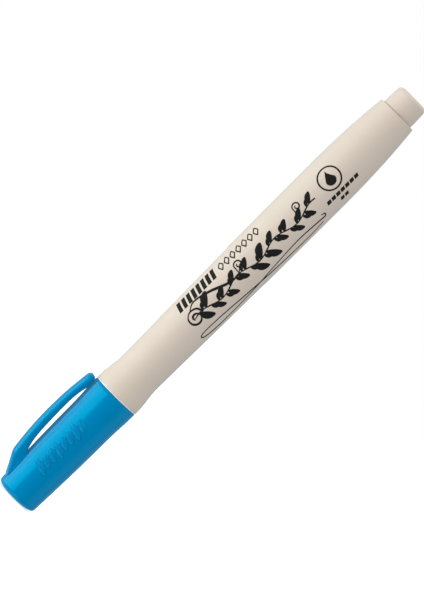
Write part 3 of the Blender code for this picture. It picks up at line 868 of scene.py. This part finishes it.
ink([(x, stem_at(x)) for x in range(62, 104)], lambda share: 0.26 + 0.1 * sin(share * 40) ** 2, per_span=4)
for i in range(18):
    large = i in (0, 1, 8, 9, 10)
    leaf(63.6 + 2.2 * i, 4.1 if large else 3.0, 50 if i % 2 else -46, 1.9 if large else 1.45)
for i in range(17):
    leaf(64.9 + 2.2 * i, 2.1, -48 if i % 2 else 52, 0.95)
tendril(78.6, 1.7)
tendril(98.4, 1.6)
curl = []
for k in range(13):
    turn, size = radians(215 - 48 * k), 0.5 + 0.165 * k
    curl.append((62.3 + size * cos(turn), -0.4 + size * 0.95 * sin(turn)))
ink(curl, lambda share: 0.26 + 0.3 * abs(sin(share * 8)))
ink([(62.0, 1.6), (64.6, 2.9), (69.0, 1.9), (73.6, 0.1), (76.6, -0.2), (78.6, 0.9)], swelled(0.24, 0.7, 2))
ink(
    [
        (101.2, -4.6), (102.1, -4.9), (101.6, -5.7), (99.6, -5.5), (93.0, -5.0), (84.0, -5.6), (76.0, -6.5),
        (66.0, -6.8), (60.9, -6.1), (59.9, -5.1), (61.6, -4.6), (68.0, -4.9), (78.0, -6.0), (88.0, -6.9),
        (96.0, -7.2), (100.5, -6.8),
    ],
    lambda share: 0.27 + 0.14 * sin(pi * share * 3) ** 2,
)
flourish = dress(finished("print_flourish", shape, "pen", smooth_under=60), print_black)

# %% [markdown]
# ### The line of dashes
#
# Above the flourish runs a line of slanted marks: heavy bars from a broad nib, then open diamonds from a
# fine nib.

# %% Draw the dashes
shape = bmesh.new()


def dash(x, y, width, tall, lean=0.22, columns=4):
    """A slanted bar with square ends."""
    rows = []
    for i in range(4):
        up = -tall / 2 + tall * i / 3
        rows.append([(x + up * lean + width * (k / (columns - 1) - 0.5), y + up) for k in range(columns)])
    add_film(shape, rows, [INK_LIFT] * columns, barrel_radius)


for i in range(8):
    dash(61.2 + 1.62 * i, 4.7, 1.1, 3.1)
for i in range(7):
    x, y = 75.3 + 1.98 * i, 4.65
    corners = [(x - 0.75, y), (x + 0.2, y + 1.2), (x + 0.75, y), (x - 0.2, y - 1.2)]
    sides = [
        Vector(a).lerp(Vector(b), k / 6) for a, b in zip(corners, [*corners[1:], corners[0]]) for k in range(6)
    ]
    grid = stroke_grid(sides, lambda share: 0.32, closed=True)
    add_film(shape, grid, [INK_LIFT] * 3, barrel_radius, closed=True)
dashes = dress(finished("print_dashes", shape, "pen", smooth_under=60), print_black)

# %% [markdown]
# ### The ring and the note
#
# Towards the tail is a ring with a drop of ink inside it, and under it two rows of small
# bars, where a maker would put a note in small print.

# %% Draw the ring, the drop and the bars
shape = bmesh.new()
ring_at, ring_size = Vector((108.8, 0.75)), 2.95
circle = [ring_at + Vector((ring_size * cos(2 * pi * k / 96), ring_size * sin(2 * pi * k / 96))) for k in range(96)]
add_film(
    shape, stroke_grid(circle, lambda share: 0.42, columns=3, closed=True), [INK_LIFT] * 3, barrel_radius, closed=True
)


def drop_width(share):
    """An upright drop's width from its point to its round end."""
    return 2.9 * (share / 0.66) ** 1.3 if share < 0.66 else 2.9 * sqrt(max(0.0, 1 - ((share - 0.66) / 0.34) ** 2))


drop_path = smooth_path([ring_at + Vector(step) for step in ((0.25, 2.15), (0, 0.2), (0, -1.95))], 14)
add_film(shape, stroke_grid(drop_path, drop_width, columns=9), [INK_LIFT] * 9, barrel_radius)
ring = dress(finished("print_ring", shape, "pen", smooth_under=60), print_black)

shape = bmesh.new()
for row, start, lengths in (
    (-3.6, 104.1, (1.2,) * 7),
    (-5.45, 107.3, (1.1,) * 2),
):
    x = start
    for length in lengths:
        dash(x + length / 2, row, length, 1.0, lean=0.3, columns=5)
        x += length + 0.32
note = dress(finished("print_note", shape, "pen", smooth_under=60), print_black)

# %% [markdown]
# ## The relief on the cap
#
# A row of leaf shapes stands up about a quarter of a millimetre from the cap's side, cut into the
# mould. It is the same colour as the cap, so only its sloping edges show. The film helper makes it too,
# with its middle columns lifted higher than its edges.

# %% Raise the relief
shape = bmesh.new()
relief_lifts = [0.0, 0.22, 0.28, 0.29, 0.28, 0.22, 0.0]
for i in range(8):
    x = 10.2 + 2.0 * i
    tall = 2.1 if i % 3 == 0 else 1.6
    points = smooth_path([(x - 0.6, 0.8 - tall), (x + 0.15, 0.8), (x + 0.7, 0.8 + tall)], 10)
    add_film(shape, stroke_grid(points, swelled(0.45, 1.5, 0.7), columns=7), relief_lifts, cap_radius)
relief = dress(finished("cap_relief", shape, "cap", smooth_under=60), cap_blue)

# %% [markdown]
# ## The floor
#
# The pen stands on a plain white floor. It glows a little to the eye, to stay an even white, and takes
# no part in reflections or shadows, so the underside of the pen isn't lit by it.

# %% Make the floor
shape = bmesh.new()
bmesh.ops.create_circle(shape, cap_ends=True, segments=96, radius=4.0)
mesh = bpy.data.meshes.new("floor")
shape.to_mesh(mesh)
shape.free()
floor = bpy.data.objects.new("floor", mesh)
bpy.context.scene.collection.objects.link(floor)
floor.location.z = -0.00002
floor_white, tree, shader = principled("floor_white", Roughness=0.9, Specular_IOR_Level=0.1)
shader.inputs["Base Color"].default_value = (0.8, 0.8, 0.8, 1)
shader.inputs["Emission Color"].default_value = (1, 1, 1, 1)
seen = tree.nodes.new("ShaderNodeLightPath").outputs["Is Camera Ray"]
tree.links.new(math(tree, "MULTIPLY", seen, 0.62), shader.inputs["Emission Strength"])
floor.data.materials.append(floor_white)
floor.visible_glossy = floor.visible_shadow = floor.visible_diffuse = False
print("floor:", round(floor.dimensions.x, 1), "m across")

# %% [markdown]
# ## The light
#
# A broad light stands on the clip's side and gives the cap its bright band. A second one carries the
# band on towards the far side, a weak one lights the pen's closed end from below, and a bluish one
# fills the dark side. A soft overhead light and a pale surround fill the rest. In reflections the
# surround is bluer, as a plastic cap shows in a pale room.

# %% Light the scene
VIEW_TURN, VIEW_LIFT, VIEW_DISTANCE = -12.0, 1.7, 1.2
middle = Vector((0, 0, (CAD_BOX[0][2] + CAD_BOX[1][2]) / 2))


def toward(turn, lift):
    """The direction from the pen to a point at this turn from -Y towards +X, and this lift."""
    turn, lift = radians(turn), radians(lift)
    return Vector((sin(turn) * cos(lift), -cos(turn) * cos(lift), sin(lift)))


def soft_light(name, turn, lift, distance, width, tall, power, colour=(1, 1, 1)):
    light = bpy.data.lights.new(name, "AREA")
    light.shape, light.size, light.size_y = "RECTANGLE", width, tall
    light.energy, light.color = power, colour
    lamp = bpy.data.objects.new(name, light)
    direction = toward(turn, lift)
    lamp.location = middle + direction * distance
    lamp.rotation_mode = "QUATERNION"
    lamp.rotation_quaternion = (-direction).to_track_quat("-Z", "Y")
    lamp.visible_camera = False
    bpy.context.scene.collection.objects.link(lamp)
    return lamp


soft_light("key", VIEW_TURN - 60, -10, 1.0, 1.12, 0.6, 6.5, (0.83, 0.95, 0.93))
soft_light("key_side", VIEW_TURN - 104, -10, 1.0, 0.5, 0.6, 1.7, (0.7, 0.95, 0.97))
soft_light("low_front", VIEW_TURN - 10, -60, 1.0, 0.6, 0.4, 1.3, (0.9, 0.98, 1.0))
soft_light("cool_fill", VIEW_TURN + 80, 0, 1.0, 0.8, 0.8, 0.9, (0.62, 0.93, 1.0))
overhead = bpy.data.lights.new("overhead", "SUN")
overhead.energy, overhead.angle = 1.2, radians(70)
lamp = bpy.data.objects.new("overhead", overhead)
bpy.context.scene.collection.objects.link(lamp)

world = bpy.data.worlds.new("studio")
bpy.context.scene.world = world
world.use_nodes = True
tree = world.node_tree
surround = tree.nodes["Background"]
path = tree.nodes.new("ShaderNodeLightPath")
unseen = blend_colour(tree, path.outputs["Is Glossy Ray"], (0.94, 0.97, 1.0, 1), (0.4, 0.85, 1.0, 1))
tree.links.new(blend_colour(tree, path.outputs["Is Camera Ray"], unseen, (1, 1, 1, 1)), surround.inputs["Color"])
tree.links.new(spread(tree, path.outputs["Is Camera Ray"], 0.0, 1.0, 0.55, 1.0), surround.inputs["Strength"])
bpy.context.scene.view_settings.view_transform = "Standard"

# %% [markdown]
# ## The camera
#
# The camera looks at the pen from the side, turned a little towards the clip, from far enough that the
# pen hardly narrows. It is rolled by 45 degrees, and so the standing pen runs from corner to corner.

# %% Place the camera
camera_data = bpy.data.cameras.new("camera")
camera = bpy.data.objects.new("camera", camera_data)
bpy.context.scene.collection.objects.link(camera)
bpy.context.scene.camera = camera
TALL_AT_PEN = 0.1454  # how much of the pen's plane the picture's height takes in
camera_data.sensor_width = 36
camera_data.lens = 18 / (TALL_AT_PEN / 2 / VIEW_DISTANCE)
back = toward(VIEW_TURN, VIEW_LIFT)
level = (-back).to_track_quat("-Z", "Y").to_matrix()
rolled = level @ Matrix.Rotation(radians(45), 3, "Z")
right, up = rolled.col[0], rolled.col[1]
aim = middle - right * 0.00041 - up * 0.00046
camera.matrix_world = Matrix.Translation(aim + back * VIEW_DISTANCE) @ rolled.to_4x4()
camera_data.clip_start, camera_data.clip_end = 0.05, 20
print("lens", round(camera_data.lens, 1), "mm")

# %% [markdown]
# ## Finish

# %% Finish
bpy.context.view_layer.update()
